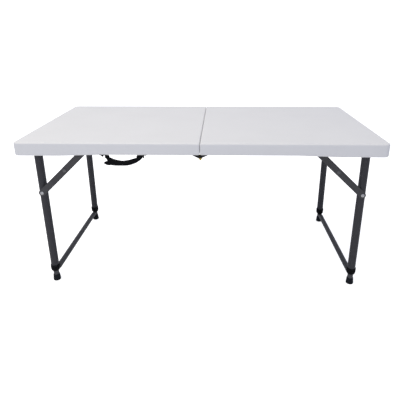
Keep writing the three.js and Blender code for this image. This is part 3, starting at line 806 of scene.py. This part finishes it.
def handle_grip():
    """The bail: a section swept between its inner and outer contour, from the left eye to the right one."""
    low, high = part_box("handle")
    left_x = low.x + THUMB_STOP_LENGTH + LEFT_ARM_WIDTH / 2
    # inner x and z, outer x and z, and depth of the section, in millimetres from the left eye
    stations = [
        (4.25, 0, -4.25, 0, 10.4), (5, -2.5, -4.25, -5, 10.4), (11, -5.4, -1, -13, 11),
        (20.5, -10, 4, -25, 15), (30, -13.2, 18, -29.4, 19), (46.7, -16.2, 42, -30, 20),
        (67, -13.6, 68, -29, 20), (83, -8.6, 90, -22.5, 16), (92, -5.6, 104, -14.5, 11.5),
        (97.5, -3.2, 113, -7, 10.4), (98.2, 0, 117.7, 0, 10.4),
    ]
    sections = []
    for inner_x, inner_z, outer_x, outer_z, depth in smooth_path(stations, 8):
        inner = Vector((left_x + inner_x * MM, HANDLE_PIVOT.y, HANDLE_PIVOT.z + inner_z * MM))
        outer = Vector((left_x + outer_x * MM, HANDLE_PIVOT.y, HANDLE_PIVOT.z + outer_z * MM))
        sections.append(((inner + outer) / 2, outer - inner, depth * MM))
    caps = [[handle_ring(centre + Vector((0, 0, ARM_DEPTH / 2 * math.sin(math.radians(a)))), across,
                         ARM_DEPTH * math.cos(math.radians(a))) for a in (78, 60, 40, 20)]
            for centre, across, _ in (sections[0], sections[-1])]
    bm = bmesh.new()
    loft(bm, caps[0] + [handle_ring(*section) for section in sections] + caps[1][::-1])
    made = piece("carry_handle", bm, NYLON, "handle", "black_nylon", "handle", sharp=60)
    bore = bmesh.new()
    turned(bore, [(HANDLE_PIN + GAP, low.x - 5 * MM), (HANDLE_PIN + GAP, high.x + 5 * MM)],
           (0, HANDLE_PIVOT.y, HANDLE_PIVOT.z), (1, 0, 0), 32)
    cut(made, bore)


def thumb_stop():
    """A wedge that grows out of the left end of the grip."""
    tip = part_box("handle")[0].x
    # distance from the tip, height below the pin, thickness and depth, in millimetres
    stations = [
        (0.2, -22, 3, 5), (2.5, -22, 6, 9), (8, -22.3, 10.5, 13), (15, -22.2, 14, 15), (22, -22, 14, 16),
    ]
    bm = bmesh.new()
    loft(bm, [handle_ring(Vector((tip + x * MM, HANDLE_PIVOT.y, HANDLE_PIVOT.z + z * MM)),
                          Vector((0, 0, thick * MM)), depth * MM)
              for x, z, thick, depth in smooth_path(stations, 6)])
    piece("handle_thumb_stop", bm, NYLON, "handle", "black_nylon", sharp=60)


def handle_brackets():
    """Plates under the rim with an ear and a pin each. The left one also has the peg that the folded
    half of the table comes to rest on."""
    y = HANDLE_PIVOT.y
    grip_low, grip_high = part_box("handle")
    top = RIM_Z - GAP
    for side, way in SIDES.items():
        name = f"handle_{side}_bracket"
        low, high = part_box(name)
        arm_x, arm_width = {-1: (grip_low.x + THUMB_STOP_LENGTH, LEFT_ARM_WIDTH),
                            1: (grip_high.x, RIGHT_ARM_WIDTH)}[way]
        ear_x = arm_x + way * GAP
        plate_end = {-1: low.x, 1: high.x}[way]
        x0, x1 = sorted((ear_x, plate_end))
        bm = bmesh.new()
        centres = [(x1 - PAD_CORNER, y + PAD_REAR), (x0 + PAD_CORNER, y + PAD_REAR),
                   (x0 + PAD_CORNER, y - PAD_FRONT), (x1 - PAD_CORNER, y - PAD_FRONT)]
        pad = [point for i, (x, across) in enumerate(centres)
               for point in arc(x, across, PAD_CORNER, 90 * i, 90 * i + 90, 6)]
        plate(bm, pad, PAD_THICKNESS, lambda x, across, depth: Vector((x, across, top - depth)))
        ear = [(y + BRACKET_EAR, top - 0.2 * MM), (y - BRACKET_EAR, top - 0.2 * MM),
               *arc(y, HANDLE_PIVOT.z, BRACKET_EAR, 180, 360, 20)]
        plate(bm, ear, BRACKET_EAR_THICKNESS,
              lambda across, z, depth: Vector((ear_x + way * depth, across, z)), bevel=0.5 * MM)
        reach = arm_width + 2 * GAP
        head = HANDLE_PIN + 1.2 * MM
        pin = [(HANDLE_PIN, -1 * MM), (HANDLE_PIN, reach), (head - 0.3 * MM, reach), (head, reach + 0.3 * MM),
               (head, reach + 1.1 * MM), (head - 0.5 * MM, reach + 1.6 * MM)]
        turned(bm, pin, (ear_x, y, HANDLE_PIVOT.z), (-way, 0, 0), 32)
        if way < 0:
            peg = [(2 * MM, 8.2 * MM), (2.3 * MM, 7.9 * MM), (5.6 * MM, 2.8 * MM),
                   (5.8 * MM, 2.4 * MM), (5.8 * MM, 1 * MM)]
            turned(bm, peg, (grip_low.x - 3.5 * MM, y, top), (0, 0, -1), 36)
        piece(f"{name}_plate", bm, NYLON, "left_half", "black_nylon", name)


# ---------------------------------------------------------------- assembly

for side_name, side_way in SIDES.items():
    top_half(side_name, side_way)
    leg_frame(side_name, side_way)
    braces(side_name, side_way)
    for face_name, face_way in FACES.items():
        rail(side_name, side_way, face_name, face_way)
        saddle(side_name, side_way, face_name, face_way)
for face_name, face_way in FACES.items():
    hinge(face_name, face_way)
handle_grip()
thumb_stop()
handle_brackets()

# ---------------------------------------------------------------- studio

FLOOR_HALF = 40
FLOOR_GLOW = 0.75  # to the camera only
SKY_COLOUR = (0.91, 0.94, 1.09, 1)
SKY_STRENGTH = 0.6  # as a light, and as much again to the camera
CAMERA_PLACE = (0.06735, -1.53129, 0.91886)
CAMERA_YAW, CAMERA_PITCH, CAMERA_ROLL = 1.479, 19.552, -0.16  # degrees
CAMERA_LENS = 36.014
CAMERA_SHIFT = (-0.027, -0.0868)


def studio_floor():
    """A wide pale floor that glows to the camera, like a plain paper sweep."""
    mesh = bpy.data.meshes.new("studio_floor")
    corners = [(FLOOR_HALF * x, FLOOR_HALF * y, 0) for x, y in ((-1, -1), (1, -1), (1, 1), (-1, 1))]
    mesh.from_pydata(corners, [], [(0, 1, 2, 3)])
    floor = bpy.data.objects.new("studio_floor", mesh)
    bpy.context.scene.collection.objects.link(floor)
    paper = bpy.data.materials.new("studio_floor")
    paper.use_nodes = True
    nodes, links = paper.node_tree.nodes, paper.node_tree.links
    shader = nodes["Principled BSDF"]
    shader.inputs["Base Color"].default_value = (0.85, 0.85, 0.85, 1)
    shader.inputs["Roughness"].default_value = 0.9
    shader.inputs["Specular IOR Level"].default_value = 0.0
    shader.inputs["Emission Color"].default_value = (1, 1, 1, 1)
    glow = nodes.new("ShaderNodeMath")
    glow.operation = "MULTIPLY"
    glow.inputs[1].default_value = FLOOR_GLOW
    links.new(nodes.new("ShaderNodeLightPath").outputs["Is Camera Ray"], glow.inputs[0])
    links.new(glow.outputs[0], shader.inputs["Emission Strength"])
    mesh.materials.append(paper)


def studio_world():
    """White to the camera, and softer as a light."""
    world = bpy.data.worlds.new("studio")
    bpy.context.scene.world = world
    world.use_nodes = True
    nodes, links = world.node_tree.nodes, world.node_tree.links
    background = nodes["Background"]
    background.inputs["Color"].default_value = SKY_COLOUR
    strength = nodes.new("ShaderNodeMath")
    strength.operation = "MULTIPLY_ADD"
    strength.inputs[1].default_value = SKY_STRENGTH
    strength.inputs[2].default_value = SKY_STRENGTH
    links.new(nodes.new("ShaderNodeLightPath").outputs["Is Camera Ray"], strength.inputs[0])
    links.new(strength.outputs[0], background.inputs["Strength"])


def soft_box(name, place, target, size, power, colour):
    """A round area light at a place, facing a target."""
    light = bpy.data.lights.new(name, "AREA")
    light.color = colour
    light.shape = "DISK"
    light.size = size
    light.energy = power
    box = bpy.data.objects.new(name, light)
    box.location = place
    box.rotation_euler = (Vector(target) - Vector(place)).to_track_quat("-Z", "Y").to_euler()
    bpy.context.scene.collection.objects.link(box)


def camera():
    """The camera of the studio shot: a little right of the middle, looking down at the top."""
    yaw, pitch, roll = [math.radians(angle) for angle in (CAMERA_YAW, CAMERA_PITCH, CAMERA_ROLL)]
    forward = Vector((-math.sin(yaw) * math.cos(pitch), math.cos(yaw) * math.cos(pitch), -math.sin(pitch)))
    level = Vector((math.cos(yaw), math.sin(yaw), 0))
    upward = level.cross(forward)
    right = level * math.cos(roll) + upward * math.sin(roll)
    up = upward * math.cos(roll) - level * math.sin(roll)
    turn = Matrix((right, up, -forward)).transposed().to_4x4()
    data = bpy.data.cameras.new("camera")
    data.lens = CAMERA_LENS
    data.sensor_width = 36
    data.shift_x, data.shift_y = CAMERA_SHIFT
    data.clip_end = 200
    made = bpy.data.objects.new("camera", data)
    made.matrix_world = Matrix.Translation(CAMERA_PLACE) @ turn
    bpy.context.scene.collection.objects.link(made)
    bpy.context.scene.camera = made


studio_floor()
studio_world()
soft_box("key", (-1.0, -0.5, 3.4), (0, 0, 0.4), 2.2, 49, (1, 0.94, 0.77))
soft_box("fill", (-0.7, -2.6, 0.7), (0, 0, 0.4), 0.8, 4.5, (0.92, 0.96, 1))
camera()
bpy.context.scene.view_settings.view_transform = "Standard"
